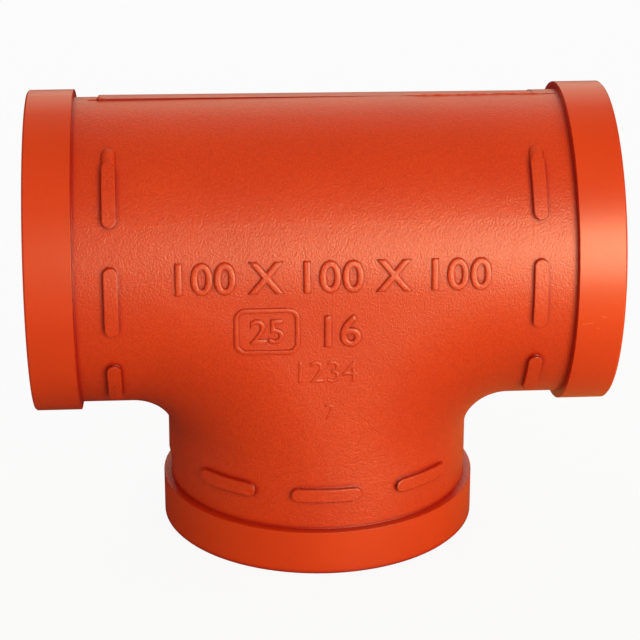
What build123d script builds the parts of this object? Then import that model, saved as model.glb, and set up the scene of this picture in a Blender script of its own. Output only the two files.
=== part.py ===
from build123d import *
from math import radians, sin
import os

# A cast equal tee for grooved pipe, stood on the end of its branch.
# X runs along the straight run, Y goes through the fitting from front to back, Z is up.
# The origin is the centre of the branch end face. All sizes are in mm.

# Ends: the collars have the pipe's outside diameter, so pipe couplings fit over them.
pipe_diameter = 114.3
run_centre_to_end = 101.8
branch_centre_to_end = 103.2
collar_width = 16.2
end_edge = 0.6
mouth_edge = 1.0
bore_stock = 1.0

# Groove: the turned floor behind each collar, where the key of a coupling sits.
groove_depth = 2.8
groove_width = 8.7
shoulder_slope = 0.3

# Casting: plain bores with an even wall along run and branch, and swept webs outside.
wall = 5.0
crotch_radius = 13.0

# Mould: its halves part a little behind the middle, and the rear one closed askew.
# That leaves a low step along the skin, highest at the top left.
parting_behind = 2.5
rear_rise = 0.2
rear_drift = 0.3
rear_turn = 0.35

# Stop bars: three in front and three behind each end, with walls along the mould's pull.
bar_width = 4.7
bar_height = 1.7
bar_arc = 26.2
bar_pitch = 40.6
bar_root = 1.0
run_bar_gap = 1.75
branch_bar_gap = 2.55

# Worked out from the sizes above
axis_height = branch_centre_to_end
collar_radius = pipe_diameter / 2
body_radius = collar_radius - groove_depth
bore_radius = body_radius - wall
bend_centre = body_radius + crotch_radius
band_length = collar_width + groove_width
well_past = pipe_diameter

# One plane on each end face, looking out of the fitting, with its y along the part's Y
left_end = Plane((-run_centre_to_end, 0, axis_height), x_dir=(0, 0, 1), z_dir=(-1, 0, 0))
right_end = Plane((run_centre_to_end, 0, axis_height), x_dir=(0, 0, -1), z_dir=(1, 0, 0))
branch_end = Plane((0, 0, 0), x_dir=(-1, 0, 0), z_dir=(0, 0, -1))
ends = (left_end, right_end, branch_end)
end_places = [end.location for end in ends]

# One plane through the middle of each ring of bars
bar_line = band_length + bar_width / 2
bar_places = [
    left_end.offset(-bar_line - run_bar_gap).location,
    right_end.offset(-bar_line - run_bar_gap).location,
    branch_end.offset(-bar_line - branch_bar_gap).location,
]

# The middle of the tee below the run's axis: a block with a bend cut from each side.
# Each cut is turned about a pivot below the run, so the web that it leaves meets
# the run, the branch and the flat front and back of the block smoothly.
with BuildPart() as web:
    with Locations((0, 0, axis_height)):
        Box(2 * bend_centre, 2 * body_radius, bend_centre, align=(Align.CENTER, Align.CENTER, Align.MAX))
    for side in (-1, 1):
        pivot = (side * bend_centre, 0, axis_height - bend_centre)
        with BuildSketch(Plane(pivot, x_dir=(-side, 0, 0), z_dir=(0, 0, side))):
            with BuildLine():
                ThreePointArc((bend_centre, -body_radius), (crotch_radius, 0), (bend_centre, body_radius))
                Polyline(
                    (bend_centre, body_radius),
                    (0, body_radius),
                    (0, -body_radius),
                    (bend_centre, -body_radius),
                )
            make_face()
        revolve(axis=Axis(pivot, (0, 1, 0)), mode=Mode.SUBTRACT)

# The six stop bars of one end, rooted a little under the skin
with BuildPart() as stop_bars:
    with BuildSketch(Plane.XZ):
        for lean in (-bar_pitch, 0, bar_pitch):
            low = body_radius * sin(radians(lean - bar_arc / 2))
            high = body_radius * sin(radians(lean + bar_arc / 2))
            with Locations(((low + high) / 2, 0)):
                SlotOverall(high - low, bar_width)
    extrude(amount=well_past, both=True)
    with BuildSketch(Plane.XY.offset(-bar_width)):
        Circle(body_radius + bar_height)
        Circle(body_radius - bar_root, mode=Mode.SUBTRACT)
    extrude(amount=2 * bar_width, mode=Mode.INTERSECT)

# Collar and groove of one end, in that end's own frame, with stock left in the bore
with BuildPart() as turned_band:
    with BuildSketch(Plane.XZ):
        with BuildLine():
            Polyline(
                (bore_radius + mouth_edge, 0),
                (collar_radius - end_edge, 0),
                (collar_radius, -end_edge),
                (collar_radius, -collar_width),
                (body_radius, -collar_width - shoulder_slope),
                (body_radius, -band_length),
                (bore_radius - bore_stock, -band_length),
                (bore_radius - bore_stock, -mouth_edge - bore_stock),
                close=True,
            )
        make_face()
    revolve()

# The skin as it comes from a perfectly closed mould
with BuildPart() as cast_skin:
    add(web.part)
    # The run is a half round over the web, and round beyond it
    with BuildSketch(Plane.YZ.offset(-bend_centre)):
        with Locations((0, axis_height)):
            Circle(body_radius)
        with Locations((0, axis_height - body_radius)):
            Rectangle(2 * body_radius, 2 * body_radius, mode=Mode.SUBTRACT)
    extrude(amount=2 * bend_centre)
    for side in (-1, 1):
        with BuildSketch(Plane.YZ.offset(side * bend_centre)):
            with Locations((0, axis_height)):
                Circle(body_radius)
        extrude(amount=side * (run_centre_to_end - bend_centre))
    with BuildSketch(Plane.XY.offset(axis_height - bend_centre)):
        Circle(body_radius)
    extrude(amount=bend_centre - branch_centre_to_end)
    with Locations(*bar_places):
        add(stop_bars.part)

parting = Plane.XZ.offset(-parting_behind)
with BuildPart() as front_half:
    add(cast_skin.part)
    split(bisect_by=parting, keep=Keep.TOP)

with BuildPart() as rear_half:
    add(cast_skin.part)
    split(bisect_by=parting, keep=Keep.BOTTOM)

# The rear half turns about the point where the axes of run and branch cross
crossing = Location((0, 0, axis_height))
askew = crossing * Location((-rear_drift, 0, rear_rise), (0, rear_turn, 0)) * crossing.inverse()

with BuildPart() as tee_casting:
    add(front_half.part)
    with Locations(askew):
        add(rear_half.part)
    # The ends of the skin are turned off, and the bands take their place
    for end in ends:
        with BuildSketch(end.offset(well_past)):
            Circle(well_past)
        extrude(amount=-well_past - band_length, mode=Mode.SUBTRACT)
    with Locations(*end_places):
        add(turned_band.part)
    # The bores take the stock and leave the broken edge at each mouth
    for end, reach in ((left_end, 2 * run_centre_to_end + bore_stock), (branch_end, branch_centre_to_end)):
        with BuildSketch(end.offset(bore_stock)):
            Circle(bore_radius)
        extrude(amount=-bore_stock - reach, mode=Mode.SUBTRACT)

os.makedirs("parts", exist_ok=True)
tee_casting.part.label = "tee_casting"
export_step(tee_casting.part, "parts/tee_casting.step")
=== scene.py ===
# %% [markdown]
# # A cast tee for grooved pipe
# The object is one iron casting with a coat of orange-red paint. Its shape comes from the CAD
# model, which is loaded as a fixed frame. Blender adds what a caliper doesn't see: the grain that
# the sand leaves, the soft edges of a thick coat, the raised marks, a studio and a camera.

# %% Load the frame and measure it
import math
import bmesh
import bpy
from mathutils import Matrix, Vector, noise
from mathutils.bvhtree import BVHTree


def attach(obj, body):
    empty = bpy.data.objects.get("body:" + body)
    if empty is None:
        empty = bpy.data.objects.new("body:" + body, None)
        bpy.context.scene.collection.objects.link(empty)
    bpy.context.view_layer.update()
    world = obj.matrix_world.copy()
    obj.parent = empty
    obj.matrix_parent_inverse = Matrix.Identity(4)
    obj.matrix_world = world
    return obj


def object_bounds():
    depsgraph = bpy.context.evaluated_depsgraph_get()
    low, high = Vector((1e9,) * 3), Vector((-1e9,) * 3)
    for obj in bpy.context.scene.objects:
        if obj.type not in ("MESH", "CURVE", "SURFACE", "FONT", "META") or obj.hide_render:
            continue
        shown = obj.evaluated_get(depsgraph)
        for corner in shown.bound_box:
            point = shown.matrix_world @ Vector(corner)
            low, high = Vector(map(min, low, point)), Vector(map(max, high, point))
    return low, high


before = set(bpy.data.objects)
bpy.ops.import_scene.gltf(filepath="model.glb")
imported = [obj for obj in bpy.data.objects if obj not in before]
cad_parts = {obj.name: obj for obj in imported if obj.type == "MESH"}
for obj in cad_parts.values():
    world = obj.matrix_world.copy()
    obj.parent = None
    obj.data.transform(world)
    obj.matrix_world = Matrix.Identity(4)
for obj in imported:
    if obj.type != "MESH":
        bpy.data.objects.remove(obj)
cad_box = [list(corner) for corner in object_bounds()]
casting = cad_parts["tee_casting"]
scene = bpy.context.scene
print("casting box, m:", [[round(v, 4) for v in corner] for corner in cad_box])

# %% [markdown]
# ## Sizes
# Blender works in metres and the workshop in millimetres, so sizes are written as so many MM.
# The run is the straight pipe along X. The branch hangs from its middle and stands on the floor.

# %% Sizes that the marks and the paint are placed by
MM = 0.001
axis_height = 103.2 * MM        # floor to the run's axis
skin_radius = 54.35 * MM        # outside of the run and the branch
bore_radius = 49.35 * MM        # inside of both
collar_width = 16.2 * MM        # turned collar at each of the three ends
parting_y = 2.5 * MM            # plane where the two halves of the mould met
run_end = cad_box[1][0]
print("run ends at", run_end, "m, axis at", axis_height, "m")

# %% [markdown]
# ## Camera
# The picture was taken with a long lens from a little above and a hair to the left, so the run
# looks nearly straight and the branch's lower rim shows as a wide curve. The camera's place is
# given as a turn and a rise about a point low in the run, and a distance from it.

# %% Camera
view_turn = math.radians(-3.533)
view_rise = math.radians(21.468)
view_distance = 831.9 * MM
look_at = Vector((0.964 * MM, 0.0, 74.03 * MM))
toward_camera = Vector((
    math.sin(view_turn) * math.cos(view_rise),
    -math.cos(view_turn) * math.cos(view_rise),
    math.sin(view_rise),
))
camera_data = bpy.data.cameras.new("camera")
camera_data.sensor_width = 36.0
camera_data.lens = 128.31
camera_data.clip_start = 0.01
camera = bpy.data.objects.new("camera", camera_data)
camera.location = look_at + toward_camera * view_distance
camera.rotation_mode = "QUATERNION"
camera.rotation_quaternion = (-toward_camera).to_track_quat("-Z", "Y")
scene.collection.objects.link(camera)
scene.camera = camera
scene.view_settings.view_transform = "Standard"
print("camera at", [round(v, 4) for v in camera.location])

# %% [markdown]
# ## A helper for node trees
# Every material here is a tree of nodes. `put` adds a node, sets its settings, and plugs in its
# inputs: a number is typed into a socket, and another node's socket is linked to it.

# %% Node helpers
FLOAT, VECTOR = "NodeSocketFloat", "NodeSocketVector"


def put(tree, kind, inputs=(), **settings):
    """Adds a node of this kind. inputs maps a socket's name or number to a value or a socket."""
    node = tree.nodes.new(kind)
    for name, value in settings.items():
        setattr(node, name, value)
    for key, value in dict(inputs).items():
        if isinstance(value, bpy.types.NodeSocket):
            tree.links.new(value, node.inputs[key])
        else:
            node.inputs[key].default_value = value
    return node


def math_of(tree, operation, first, second=0.0):
    """A Math node's result, for two numbers or sockets."""
    return put(tree, "ShaderNodeMath", {0: first, 1: second}, operation=operation).outputs[0]


def ramp(tree, value, low, high, to_low=0.0, to_high=1.0):
    """value carried from low..high to to_low..to_high, and held at both ends."""
    node = put(tree, "ShaderNodeMapRange",
               {"Value": value, "From Min": low, "From Max": high,
                "To Min": to_low, "To Max": to_high})
    return node.outputs["Result"]


def mix_color(tree, share, first, second):
    """A colour between first and second."""
    node = put(tree, "ShaderNodeMix", {0: share, 6: first, 7: second}, data_type="RGBA")
    return node.outputs[2]


def new_group(name, inputs, outputs):
    """An empty node group with these sockets, and its input and output nodes."""
    group = bpy.data.node_groups.new(name, "ShaderNodeTree")
    for label, kind, value in inputs:
        socket = group.interface.new_socket(label, in_out="INPUT", socket_type=kind)
        if value is not None:
            socket.default_value = value
    for label, kind in outputs:
        group.interface.new_socket(label, in_out="OUTPUT", socket_type=kind)
    print("node group", name)
    return group, group.nodes.new("NodeGroupInput"), group.nodes.new("NodeGroupOutput")


def new_material(name):
    """An empty material, its tree and its output node."""
    material = bpy.data.materials.new(name)
    material.use_nodes = True
    material.node_tree.nodes.clear()
    return material, material.node_tree, material.node_tree.nodes.new("ShaderNodeOutputMaterial")


# %% [markdown]
# ## Floor and surround
# The picture is a product shot on white. The world lights the casting with a plain soft grey,
# and shows as white where the camera looks straight at it. The floor is a pale disc that is
# mostly white of its own for the camera, so the casting's shadow on it stays faint. Reflections
# don't see the world, and see the floor nearly black: a real studio is dark beyond its paper, and
# a paint that mirrored white on every side would turn milky. What they do see is painted
# reflection: a few soft orange pools that glow on the floor for reflections only, standing in for
# the glow of the lit casting on the paper round it.

# %% World
surround_color = (0.95, 1.0, 0.98, 1.0)
surround_strength = 0.55
plain_white = (1.0, 1.0, 1.0, 1.0)


def looked_at(tree, path):
    """1 where the camera looks straight at something, or through a clear material."""
    return math_of(tree, "MAXIMUM",
                   path.outputs["Is Camera Ray"], path.outputs["Is Transmission Ray"])


world = bpy.data.worlds.new("white_surround")
world.use_nodes = True
world.cycles_visibility.glossy = False
scene.world = world
tree = world.node_tree
tree.nodes.clear()
path = put(tree, "ShaderNodeLightPath")
soft_light = put(tree, "ShaderNodeBackground",
                 {"Color": surround_color, "Strength": surround_strength})
white = put(tree, "ShaderNodeBackground", {"Color": plain_white, "Strength": 1.0})
mixed = put(tree, "ShaderNodeMixShader",
            {0: looked_at(tree, path), 1: soft_light.outputs[0], 2: white.outputs[0]})
put(tree, "ShaderNodeOutputWorld", {"Surface": mixed.outputs[0]})
print("world", world.name, "of strength", surround_strength)

# %% Floor
floor_radius = 8.0
floor_color = (0.6, 0.6, 0.59, 1.0)
floor_white_share = 0.92        # how much of the floor's look is plain white
mirrored_color = (0.02, 0.02, 0.02)     # the floor between the pools, in reflections
pool_core = 0.3                 # share of a pool's radius that glows at full strength
# Painted reflections: soft glowing pools on the floor that only reflections see
painted_reflection_pools = (                 # centre in m, radius in m, colour
    ((0.13, -0.36, 0.0), 0.33, (1.24, 0.53, 0.12)),
    ((0.32, -0.30, 0.0), 0.30, (1.8, 2.0, 0.4)),
    ((0.36, 0.22, 0.0), 0.42, (1.87, 0.75, 0.19)),
)
bm = bmesh.new()
bmesh.ops.create_circle(bm, cap_ends=True, segments=96, radius=floor_radius)
floor_mesh = bpy.data.meshes.new("floor")
bm.to_mesh(floor_mesh)
bm.free()
floor = bpy.data.objects.new("floor", floor_mesh)
scene.collection.objects.link(floor)

material, tree, output = new_material("pale_floor")
matt = put(tree, "ShaderNodeBsdfDiffuse", {"Color": floor_color})
white = put(tree, "ShaderNodeEmission", {"Color": plain_white, "Strength": 1.0})
path = put(tree, "ShaderNodeLightPath")
share = math_of(tree, "MULTIPLY", looked_at(tree, path), floor_white_share)
mixed = put(tree, "ShaderNodeMixShader", {0: share, 1: matt.outputs[0], 2: white.outputs[0]})
# Painted reflections: a dim floor with glowing pools on it, in front of the casting and to its
# right
place = put(tree, "ShaderNodeTexCoord").outputs["Object"]
lit = mirrored_color
for center, radius, glow in painted_reflection_pools:
    away = put(tree, "ShaderNodeVectorMath", {0: place, 1: center}, operation="DISTANCE")
    share = ramp(tree, away.outputs["Value"], radius * pool_core, radius, 1.0, 0.0)
    pool = put(tree, "ShaderNodeVectorMath", {0: glow, "Scale": share}, operation="SCALE")
    lit = put(tree, "ShaderNodeVectorMath",
              {0: lit, 1: pool.outputs[0]}, operation="ADD").outputs[0]
mirrored_floor = put(tree, "ShaderNodeEmission", {"Color": lit, "Strength": 1.0})
mixed = put(tree, "ShaderNodeMixShader",
            {0: path.outputs["Is Glossy Ray"], 1: mixed.outputs[0], 2: mirrored_floor.outputs[0]})
tree.links.new(mixed.outputs[0], output.inputs["Surface"])
floor_mesh.materials.append(material)
print("floor radius", floor_radius, "m")

# %% [markdown]
# ## Lamps
# The casting shows one broad soft band of light along the run, strongest at the right, and a
# darker left side to the branch. A large key lamp stands in front, to the right and a little
# above the run, and a weak one at the left keeps that side from going black. A lamp behind and
# above lights the top, as white paper does at the back of a product shot. These three light the
# surface only. Three panels are seen only in reflections, so the band can be set by itself: two
# in front make the band, brighter to the right, and one behind makes the pale edge at the top.

# %% Lamps
def soft_lamp(name, turn, rise, distance, size, power, color):
    """A square lamp that faces the run's middle. turn 0 is in front and 90 is to the right."""
    a, e = math.radians(turn), math.radians(rise)
    away = Vector((math.sin(a) * math.cos(e), -math.cos(a) * math.cos(e), math.sin(e)))
    data = bpy.data.lights.new(name, "AREA")
    data.size = size
    data.energy = power
    data.color = color
    lamp = bpy.data.objects.new(name, data)
    lamp.location = Vector((0.0, 0.0, axis_height)) + away * distance
    lamp.rotation_mode = "QUATERNION"
    lamp.rotation_quaternion = away.to_track_quat("Z", "Y")
    scene.collection.objects.link(lamp)
    print("lamp", name, "at", [round(v, 2) for v in lamp.location])
    return lamp


lamps = (
    # name, what it lights, turn, rise, distance in m, size in m, power in W, colour
    ("key_lamp", "surface", 28, 13, 0.9, 0.56, 5.8, (1.0, 0.86, 0.68)),
    ("left_lamp", "surface", -75, 10, 1.5, 1.0, 2.6, (1.0, 0.84, 0.68)),
    ("back_lamp", "surface", 180, 48, 1.8, 1.2, 13.0, (0.92, 1.0, 0.98)),
    ("sheen_panel", "gloss", 23, 9.5, 0.8, 0.6, 8.6, (0.70, 1.0, 0.70)),
    ("right_panel", "gloss", 42, 8, 0.8, 0.5, 7.0, (0.68, 1.0, 0.62)),
    ("back_panel", "gloss", 168, 24, 1.8, 1.4, 7.4, (0.94, 1.0, 0.78)),
)
for name, lights, turn, rise, distance, size, power, color in lamps:
    lamp = soft_lamp(name, turn, rise, distance, size, power, color)
    lamp.visible_glossy = lights == "gloss"
    lamp.visible_diffuse = lights == "surface"

# %% [markdown]
# ## Paint finishes as node groups
# The collars are turned on a lathe before painting, and the rest is as cast, so the finish
# changes along the part. The casting is one mesh with one material, so the material has to know
# where it is. These groups read Object coordinates and put out masks from 0 to 1.

# %% Group: where the lathe has been
near_margin = 1.0 * MM          # how far past a collar its shoulder still counts as near
blur = 0.2 * MM                 # half of what a mask takes to go from 0 to 1
group, given, result = new_group(
    "lathe_work", [("Point", VECTOR, None)], [("Collar", FLOAT), ("Near Collar", FLOAT)])
xyz = put(group, "ShaderNodeSeparateXYZ", {0: given.outputs["Point"]})
along_run = math_of(group, "ABSOLUTE", xyz.outputs["X"])
up_branch = xyz.outputs["Z"]
for label, margin in (("Collar", 0.0), ("Near Collar", near_margin)):
    shoulder = run_end - collar_width - margin
    on_run = ramp(group, along_run, shoulder - blur, shoulder + blur)
    on_branch = ramp(group, up_branch, collar_width + margin + blur, collar_width + margin - blur)
    group.links.new(math_of(group, "MAXIMUM", on_run, on_branch), result.inputs[label])
lathe_work = group

# %% Group: where the waterway is
group, given, result = new_group("waterway", [("Point", VECTOR, None)], [("Inside", FLOAT)])
xyz = put(group, "ShaderNodeSeparateXYZ", {0: given.outputs["Point"]})
x, y = xyz.outputs["X"], xyz.outputs["Y"]
up = math_of(group, "SUBTRACT", xyz.outputs["Z"], axis_height)


def length_of(tree, first, second):
    """Length of a flat vector with these two parts."""
    squares = math_of(tree, "ADD", math_of(tree, "MULTIPLY", first, first),
                      math_of(tree, "MULTIPLY", second, second))
    return math_of(tree, "SQRT", squares)


wall_middle = (skin_radius + bore_radius) / 2
in_run = math_of(group, "LESS_THAN", length_of(group, y, up), wall_middle)
in_branch = math_of(group, "LESS_THAN", length_of(group, x, y), wall_middle)
in_branch = math_of(group, "MULTIPLY", in_branch, math_of(group, "LESS_THAN", up, 0.0))
group.links.new(math_of(group, "MAXIMUM", in_run, in_branch), result.inputs["Inside"])
waterway = group

# %% [markdown]
# Sand leaves a fine pebbled skin, and the paint rounds it off. Two noises of different size make
# it, one of 4 mm for the slow swell and one of about 0.6 mm for the pebble itself. A third, much
# slower one says where the coat is thicker or thinner.

# %% Group: the grain that the sand leaves
pebble_share = 0.65             # of the grain's height, and the swell makes the rest
tone_scale = 28.0               # patches of thin and thick paint to a metre
group, given, result = new_group(
    "cast_grain",
    [("Point", VECTOR, None), ("Pebble Size", FLOAT, 0.64 * MM), ("Swell Size", FLOAT, 4.0 * MM)],
    [("Height", FLOAT), ("Pebble", FLOAT), ("Tone", FLOAT)],
)
pebble_scale = math_of(group, "DIVIDE", 1.0, given.outputs["Pebble Size"])
swell_scale = math_of(group, "DIVIDE", 1.0, given.outputs["Swell Size"])
pebble = put(group, "ShaderNodeTexNoise",
             {"Vector": given.outputs["Point"], "Scale": pebble_scale, "Detail": 2.0,
              "Roughness": 0.6})
swell = put(group, "ShaderNodeTexNoise",
            {"Vector": given.outputs["Point"], "Scale": swell_scale, "Detail": 2.0,
             "Roughness": 0.5})
pebbled = math_of(group, "MULTIPLY", pebble.outputs[0], pebble_share)
swelled = math_of(group, "MULTIPLY", swell.outputs[0], 1.0 - pebble_share)
group.links.new(math_of(group, "ADD", pebbled, swelled), result.inputs["Height"])
group.links.new(ramp(group, pebble.outputs[0], 0.35, 0.65), result.inputs["Pebble"])
slow = put(group, "ShaderNodeTexNoise",
           {"Vector": given.outputs["Point"], "Scale": tone_scale, "Detail": 2.0,
            "Roughness": 0.5})
group.links.new(ramp(group, slow.outputs[0], 0.3, 0.7), result.inputs["Tone"])
cast_grain = group

# %% [markdown]
# Handling leaves a few fine scars on the front. Each is a short line in X and Z. The mask is
# found from the distance to the line: the point's place along the line is held between its two
# ends, and what is left over is how far off the point is.

# %% Group: scars from handling
dark_scars = (                  # two ends in mm, and half the width in mm
    ((10.4, 60.5), (17.6, 52.3), 0.35),
    ((-6.9, 83.3), (-6.1, 80.7), 0.4),
    ((-8.2, 120.8), (-7.1, 117.6), 0.4),
    ((-3.5, 87.8), (-3.3, 87.8), 0.35),
    ((-46.0, 62.0), (-45.2, 60.2), 0.3),
)
pale_scars = (
    ((87.2, 92.4), (91.0, 92.7), 0.25),
    ((94.0, 95.2), (95.2, 94.8), 0.35),
    ((92.6, 90.6), (92.9, 90.6), 0.4),
)
group, given, result = new_group(
    "handling_scars", [("Point", VECTOR, None)], [("Dark", FLOAT), ("Pale", FLOAT)])
xyz = put(group, "ShaderNodeSeparateXYZ", {0: given.outputs["Point"]})
x, z = xyz.outputs["X"], xyz.outputs["Z"]
in_front = math_of(group, "LESS_THAN", xyz.outputs["Y"], 0.0)


def near_line(tree, x, z, start, end, half_width):
    """1 on the line from start to end, fading to 0 over half_width. All three are in mm."""
    start, end = Vector(start) * MM, Vector(end) * MM
    step = end - start
    from_x = math_of(tree, "SUBTRACT", x, start.x)
    from_z = math_of(tree, "SUBTRACT", z, start.y)
    along = math_of(tree, "ADD", math_of(tree, "MULTIPLY", from_x, step.x / step.length_squared),
                    math_of(tree, "MULTIPLY", from_z, step.y / step.length_squared))
    held = ramp(tree, along, 0.0, 1.0)
    off_x = math_of(tree, "SUBTRACT", from_x, math_of(tree, "MULTIPLY", held, step.x))
    off_z = math_of(tree, "SUBTRACT", from_z, math_of(tree, "MULTIPLY", held, step.y))
    return ramp(tree, length_of(tree, off_x, off_z), 0.0, half_width * MM, 1.0, 0.0)


for label, scars in (("Dark", dark_scars), ("Pale", pale_scars)):
    mask = 0.0
    for start, end, half_width in scars:
        mask = math_of(group, "MAXIMUM", near_line(group, x, z, start, end, half_width), mask)
    group.links.new(math_of(group, "MULTIPLY", mask, in_front), result.inputs[label])
handling_scars = group

# %% [markdown]
# ## The paint
# One coat covers everything. It is a semi-gloss orange-red. Painted shade makes it deeper in
# corners, which an Ambient Occlusion node finds, in the grain's hollows and along the shoulders of
# the collars, and scars from handling are darker too. The Bevel node rounds the shading of the
# CAD's cut edges, as a thick coat does, and the grain is laid on that rounded surface as a bump.

# %% The paint's colours and measures
paint_color = (0.65, 0.043, 0.0010, 1.0)
paint_color_thin = (0.70, 0.050, 0.0014, 1.0)
# A darker paint, used for painted shade in corners, hollows and shoulders, and for the real
# darkening of scars
paint_color_shade_and_scar = (0.40, 0.008, 0.0003, 1.0)
paint_color_inside = (0.58, 0.045, 0.008, 1.0)
paint_color_rubbed = (0.78, 0.12, 0.03, 1.0)

corner_reach = 2.6 * MM         # how far from a corner the painted shade still reaches
corner_openness = (0.6, 0.93)   # open share of the sky where the painted shade is full and where it ends
hollow_shade_depth = 0.4               # how much of the dark colour a hollow of the grain takes, as painted shade
scar_deep = 0.5                 # how much of the dark colour a scar takes
shoulder_shade_depth = 0.9             # how much of the dark colour the band beside a collar takes, as painted shade
grain_on_collar = 0.22          # share of the grain that is left after turning
grain_height = 0.26 * MM
scar_cut = 0.12                 # depth of a scar, as a share of the grain's height
cast_roughness = 0.36
collar_roughness = 0.34
inside_roughness_more = 0.12
gloss_level = 0.4               # a little weaker than the shader's usual 0.5
gloss_tint = (1.0, 0.95, 0.85, 1.0)
cast_rounding = 0.8 * MM        # radius of an edge under the paint
collar_rounding = 0.35 * MM
print("grain stands", round(grain_height / MM, 2), "mm high, edges are rounded to",
      round(cast_rounding / MM, 2), "and", round(collar_rounding / MM, 2), "mm")

# %% Material: painted casting
casting_paint, tree, output = new_material("painted_casting")
point = put(tree, "ShaderNodeTexCoord").outputs["Object"]
lathe = put(tree, "ShaderNodeGroup", node_tree=lathe_work)
inside = put(tree, "ShaderNodeGroup", node_tree=waterway)
grain = put(tree, "ShaderNodeGroup", node_tree=cast_grain)
scars = put(tree, "ShaderNodeGroup", node_tree=handling_scars)
for node in (lathe, inside, grain, scars):
    tree.links.new(point, node.inputs["Point"])
collar, within = lathe.outputs["Collar"], inside.outputs["Inside"]

grain_strength = ramp(tree, collar, 0.0, 1.0, 1.0, grain_on_collar)
# Painted shade: the paint is darkened in corners, where the Ambient Occlusion node finds little
# open sky
corner = put(tree, "ShaderNodeAmbientOcclusion", {"Distance": corner_reach}, samples=8)
corner_shade = ramp(tree, corner.outputs["AO"], *corner_openness, 1.0, 0.0)
# Painted shade in the grain's hollows: the paint is darker where the pebble is low
hollow_shade = ramp(tree, grain.outputs["Pebble"], 0.0, 1.0, hollow_shade_depth, 0.0)
hollow_shade = math_of(tree, "MULTIPLY", hollow_shade, grain_strength)
scarred = math_of(tree, "MULTIPLY", scars.outputs["Dark"], scar_deep)
# Painted shade in a band 1 mm wide just past each collar's shoulder
shoulder = math_of(tree, "SUBTRACT", lathe.outputs["Near Collar"], collar)
shoulder = math_of(tree, "MULTIPLY", shoulder, shoulder_shade_depth)
# The dark colour carries painted shade in corners, hollows and shoulders, and the real darkening
# of scars
shade_and_scars = corner_shade
for mask in (scarred, hollow_shade, shoulder):
    shade_and_scars = math_of(tree, "MAXIMUM", shade_and_scars, mask)
color = mix_color(tree, grain.outputs["Tone"], paint_color, paint_color_thin)
color = mix_color(tree, scars.outputs["Pale"], color, paint_color_rubbed)
color = mix_color(tree, shade_and_scars, color, paint_color_shade_and_scar)
color = mix_color(tree, within, color, paint_color_inside)

rough = ramp(tree, collar, 0.0, 1.0, cast_roughness, collar_roughness)
rough = math_of(tree, "ADD", rough, math_of(tree, "MULTIPLY", within, inside_roughness_more))

rounding = ramp(tree, lathe.outputs["Near Collar"], 0.0, 1.0, cast_rounding, collar_rounding)
rounded = put(tree, "ShaderNodeBevel", {"Radius": rounding}, samples=6)
height = math_of(tree, "MULTIPLY", grain.outputs["Height"], grain_strength)
cut = math_of(tree, "MULTIPLY", scars.outputs["Dark"], scar_cut)
height = math_of(tree, "SUBTRACT", height, cut)
bump = put(tree, "ShaderNodeBump",
           {"Strength": 1.0, "Distance": grain_height, "Height": height,
            "Normal": rounded.outputs["Normal"]})
surface = put(tree, "ShaderNodeBsdfPrincipled",
              {"Base Color": color, "Roughness": rough, "Normal": bump.outputs["Normal"],
               "Specular IOR Level": gloss_level, "Specular Tint": gloss_tint})
tree.links.new(surface.outputs[0], output.inputs["Surface"])
for slot in casting.material_slots:
    slot.material = casting_paint
print("casting has", len(casting.material_slots), "material slot(s), painted", casting_paint.name)

# %% [markdown]
# ## Raised marks
# Foundries cast the pipe size and a mould number into the skin. The mould half pulls straight
# away from the front, so each mark stands out along Y however the skin curves under it. A mark
# starts as flat text or a flat outline with depth and a rounded upper edge, which curves give by
# themselves. It is then sliced into thin bands, so that it can bend, and draped over the casting.

# %% Drape helpers
skin = BVHTree.FromObject(casting, bpy.context.evaluated_depsgraph_get())


def front_of(x, z):
    """Where the front of the casting is, in Y, at this x and z."""
    return skin.ray_cast(Vector((x, -1.0, z)), Vector((0.0, 1.0, 0.0)))[0].y


def finished_piece(bm, name):
    """Makes a painted piece of the casting from a bmesh."""
    for face in bm.faces:
        face.smooth = True
    mesh = bpy.data.meshes.new(name)
    bm.to_mesh(mesh)
    bm.free()
    mesh.materials.append(casting_paint)
    piece = bpy.data.objects.new(name, mesh)
    scene.collection.objects.link(piece)
    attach(piece, "root")
    print(name, "has", len(mesh.polygons), "faces")
    return piece


def raise_mark(mesh, name, center, proud, slice_height=1.0 * MM):
    """Drapes a mark, drawn in X and Y, over the casting's front, so that it stands proud of it."""
    bm = bmesh.new()
    bm.from_mesh(mesh)
    bmesh.ops.remove_doubles(bm, verts=bm.verts[:], dist=0.005 * MM)
    lowest = min(vert.co.y for vert in bm.verts)
    highest = max(vert.co.y for vert in bm.verts)
    top = max(vert.co.z for vert in bm.verts)
    cut = lowest + slice_height
    while cut < highest:
        bmesh.ops.bisect_plane(bm, geom=bm.verts[:] + bm.edges[:] + bm.faces[:], dist=1e-7,
                               plane_co=(0.0, cut, 0.0), plane_no=(0.0, 1.0, 0.0))
        cut += slice_height
    for vert in bm.verts:
        x, z = center[0] + vert.co.x, center[1] + vert.co.y
        vert.co = (x, front_of(x, z) - vert.co.z + top - proud, z)
    bmesh.ops.triangulate(bm, faces=bm.faces[:])
    return finished_piece(bm, name)


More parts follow.
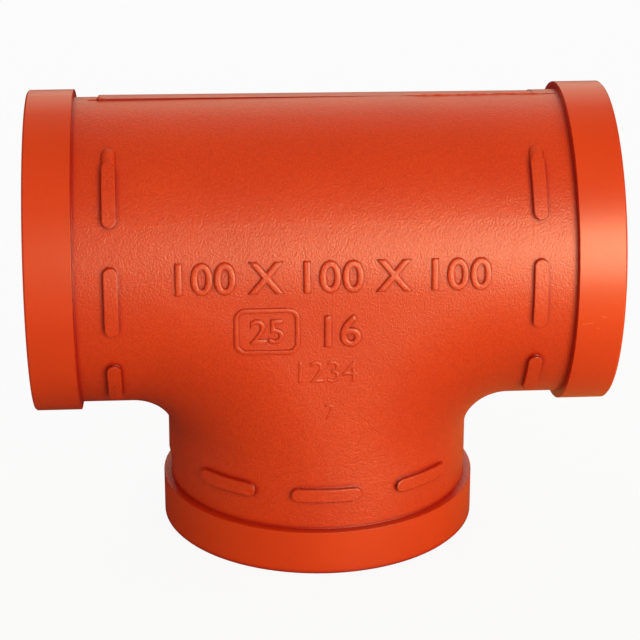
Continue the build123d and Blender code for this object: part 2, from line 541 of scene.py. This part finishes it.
# %% Flat solid from a curve
def solid_of(curve, round_over, wall, growth=0.0):
    """A mesh of a flat curve with depth and rounded upper edges, centred in X and Y."""
    curve.offset = growth - round_over
    curve.extrude = wall
    curve.bevel_depth = round_over
    curve.bevel_resolution = 4
    holder = bpy.data.objects.new("flat_shape", curve)
    scene.collection.objects.link(holder)
    bpy.context.view_layer.update()
    shaped = holder.evaluated_get(bpy.context.evaluated_depsgraph_get())
    mesh = bpy.data.meshes.new_from_object(shaped)
    bpy.data.objects.remove(holder)
    xs = [vert.co.x for vert in mesh.vertices]
    ys = [vert.co.y for vert in mesh.vertices]
    middle = Vector(((min(xs) + max(xs)) / 2, (min(ys) + max(ys)) / 2, 0.0))
    mesh.transform(Matrix.Translation(-middle))
    wide, high = (max(xs) - min(xs)) / MM, (max(ys) - min(ys)) / MM
    print("flat shape", round(wide, 1), "by", round(high, 1), "mm")
    return mesh


# %% Flat curves: figures and a frame
def text_curve(words, cap_height, spacing=1.0):
    """Text as a curve, with figures of this height."""
    curve = bpy.data.curves.new("text", "FONT")
    curve.body = words
    curve.space_character = spacing
    curve.resolution_u = 5
    curve.size = 1.0
    probe = bpy.data.objects.new("probe", curve)
    scene.collection.objects.link(probe)
    bpy.context.view_layer.update()
    curve.size = cap_height / probe.dimensions.y
    bpy.data.objects.remove(probe)
    return curve


def rounded_frame(width, height, corner, stroke):
    """A flat frame with round corners as a curve."""
    curve = bpy.data.curves.new("frame", "CURVE")
    curve.dimensions = "2D"
    curve.fill_mode = "BOTH"
    for inset in (0.0, stroke):
        radius = corner - inset
        spots = []
        for quarter, (sx, sy) in enumerate(((1, 1), (-1, 1), (-1, -1), (1, -1))):
            for part in range(7):
                angle = math.radians(90 * quarter + 15 * part)
                spots.append((sx * (width / 2 - corner) + radius * math.cos(angle),
                              sy * (height / 2 - corner) + radius * math.sin(angle)))
        line = curve.splines.new("POLY")
        line.points.add(len(spots) - 1)
        for spot, place in zip(spots, line.points):
            place.co = (spot[0], spot[1], 0.0, 1.0)
        line.use_cyclic_u = True
    return curve


# %% Size line and class number
mark_wall = 0.5 * MM            # straight wall of a mark under its rounded edge


def raised_figures(name, words, cap_height, center, round_over, growth, proud, spacing=1.0):
    """Figures cast on the front. growth makes their strokes bolder."""
    curve = text_curve(words, cap_height, spacing)
    return raise_mark(solid_of(curve, round_over, mark_wall, growth), name, center, proud)


raised_figures("size_line", "100 X 100 X 100", 10.3 * MM, (2.4 * MM, axis_height + 7.6 * MM),
               round_over=0.65 * MM, growth=0.48 * MM, proud=1.0 * MM, spacing=1.06)
raised_figures("class_number", "16", 10.8 * MM, (5.5 * MM, axis_height - 11.8 * MM),
               round_over=0.6 * MM, growth=0.42 * MM, proud=0.9 * MM)

# %% [markdown]
# The mould's own number stands in a plain frame at the left. Under it are the last traces of
# older numbers, which a foundry grinds down in the pattern when it is used for another batch.

# %% Mould number in its frame, and two worn numbers
frame_center = (-20.4 * MM, axis_height - 11.6 * MM)
outline = rounded_frame(width=22.5 * MM, height=17.0 * MM, corner=4.0 * MM, stroke=1.7 * MM)
raise_mark(solid_of(outline, 0.45 * MM, mark_wall), "mould_frame", frame_center, proud=0.6 * MM)
raised_figures("mould_number", "25", 8.6 * MM, frame_center,
               round_over=0.45 * MM, growth=0.25 * MM, proud=0.6 * MM)
raised_figures("worn_number", "1234", 8.0 * MM, (0.4 * MM, axis_height - 26.9 * MM),
               round_over=0.3 * MM, growth=0.1 * MM, proud=0.22 * MM)
raised_figures("worn_figure", "7", 5.4 * MM, (0.9 * MM, axis_height - 42.0 * MM),
               round_over=0.25 * MM, growth=0.0, proud=0.16 * MM)

# %% [markdown]
# ## Flash on the parting line
# Iron creeps a little way between the two halves of the mould and leaves a fin, which is broken
# off and ground. A low ragged rest of it is left at the top right, and a short smooth one at the
# top left. Each is a strip along X of many rows. A row has five points across, the outer two of
# them sunk in the skin so that no gap shows, and two noises make its height and its place wander.

# %% Parting flash
flash_profile = (               # place across in mm, and share of the height
    (-0.75, 0.0), (-0.45, 0.7), (0.0, 1.0), (0.5, 0.7), (0.9, 0.0))
flash_sink = 0.15 * MM          # how deep the outer points lie
wave_length = 2.6 * MM          # of the height along the flash
drift_length = 7.0 * MM         # of its place across the parting line


def ridge(name, rows):
    """A closed strip through these rows of points. The first and last of each row lie sunk."""
    bm = bmesh.new()
    rows = [[bm.verts.new(place) for place in row] for row in rows]
    last = len(rows[0]) - 1
    for near, far in zip(rows, rows[1:]):
        for a, b in zip(range(last), range(1, last + 1)):
            bm.faces.new((near[a], far[a], far[b], near[b]))
        bm.faces.new((near[last], far[last], far[0], near[0]))
    bm.faces.new(rows[0])
    bm.faces.new(reversed(rows[-1]))
    bmesh.ops.recalc_face_normals(bm, faces=bm.faces[:])
    return finished_piece(bm, name)


def top_of(x, y):
    """Where the top of the casting is, in Z, at this x and y."""
    return skin.ray_cast(Vector((x, y, 1.0)), Vector((0.0, 0.0, -1.0)))[0].z


def flash(name, start, end, height, ragged, forward, step=0.6 * MM):
    """A low ragged ridge along the parting line from x = start to x = end.
    It fades out over a sixth of its length at both ends."""
    count = round((end - start) / step)
    rows = []
    for i in range(count + 1):
        x = start + (end - start) * i / count
        fade = min(1.0, 6.0 * i / count, 6.0 * (count - i) / count)
        wave = noise.noise(Vector((x / wave_length, 0.0, 0.0)))
        drift = noise.noise(Vector((x / drift_length, 5.0, 0.0)))
        tall = height * fade * (1.0 + ragged * wave)
        middle = parting_y - forward + ragged * 0.9 * drift * MM
        row = []
        for across, share in flash_profile:
            y = middle + across * MM
            row.append((x, y, top_of(x, y) + tall * share - (0.0 if share else flash_sink)))
        rows.append(row)
    return ridge(name, rows)


flash("right_flash", 29.0 * MM, 84.8 * MM, 0.42 * MM, ragged=0.8, forward=0.6 * MM)
flash("left_flash", -80.5 * MM, -74.5 * MM, 0.3 * MM, ragged=0.2, forward=-0.9 * MM)

# %% [markdown]
# ## Dressed seam on the branch
# The rear half of the mould closed a little to the left, so its edge stands out along the left of
# the branch. A fettler grinds such an edge until it runs into the front half. The strip below
# fills the step: its front edge lies sunk in the front half, and from there it rises in a smooth
# S to the rear half's skin. At its upper end it fades out in the bend under the run.

# %% Dressed seam
seam_steps = 8                  # from the front edge of the seam to the rear half
seam_sink = 0.15 * MM           # how deep the front edge lies
before_step = 0.1 * MM          # where the filled surface stops, in front of the parting plane


def left_of(y, z):
    """Where the left of the branch is, in X, at this y and z, looked for from under the run."""
    return skin.ray_cast(Vector((-75.0 * MM, y, z)), Vector((1.0, 0.0, 0.0)))[0].x


def dressed_seam(name, low, high, reach, step=0.8 * MM):
    """Fills the step on the branch's left from z = low to z = high, reaching this far forwards.
    It fades out over its upper fifth."""
    count = round((high - low) / step)
    rows = []
    for i in range(count + 1):
        z = low + (high - low) * i / count
        fade = min(1.0, 5.0 * (count - i) / count)
        rise = fade * (left_of(parting_y - 0.2 * MM, z) - left_of(parting_y + 0.4 * MM, z))
        row = []
        for j in range(seam_steps + 1):
            share = j / seam_steps
            y = parting_y - before_step - reach * (1.0 - share)
            lift = rise * share * share * (3.0 - 2.0 * share) if j else -seam_sink
            row.append((left_of(y, z) - lift, y, z))
        y = parting_y + 0.6 * MM
        row.append((left_of(y, z) + 0.1 * MM, y, z))
        rows.append(row)
    return ridge(name, rows)


dressed_seam("left_seam", low=25.2 * MM, high=46.0 * MM, reach=14.0 * MM)

# %% [markdown]
# ## Tails of the upper stop bars
# The two upper bars in front don't stop square: their upper ends run on up the skin and die away.
# A tail like that is a long drop half sunk in the skin. It starts as a ball of radius 1, which is
# given the bar's width and height, and its length is then wrapped round the run. A ball's pole is
# too pointed for a casting, so every ring is widened, most of all the ones near the poles.

# %% Bar tails
bar_middle = 72.8 * MM          # from the branch's axis to the middle of a bar
bar_width = 4.7 * MM
bar_height = 1.7 * MM
tail_root = math.radians(49.7)  # where the round end of the bar has its centre, above level


def bar_tail(name, x, length):
    """A drop along the run's skin, from the root upwards, with this much of it above the root."""
    bm = bmesh.new()
    bmesh.ops.create_uvsphere(bm, u_segments=24, v_segments=24, radius=1.0)
    for vert in bm.verts:
        z = vert.co.z
        blunt = math.sqrt(1 + z**2 + z**4 + z**6)
        angle = tail_root + z * length / skin_radius
        radius = skin_radius + vert.co.y * blunt * bar_height
        vert.co = (x + vert.co.x * blunt * bar_width / 2, -radius * math.cos(angle),
                   axis_height + radius * math.sin(angle))
    bm.normal_update()
    bmesh.ops.recalc_face_normals(bm, faces=bm.faces[:])
    if bm.calc_volume(signed=True) < 0.0:
        bmesh.ops.reverse_faces(bm, faces=bm.faces[:])
    return finished_piece(bm, name)


bar_tail("left_bar_tail", -bar_middle, length=7.6 * MM)
bar_tail("right_bar_tail", bar_middle, length=5.2 * MM)
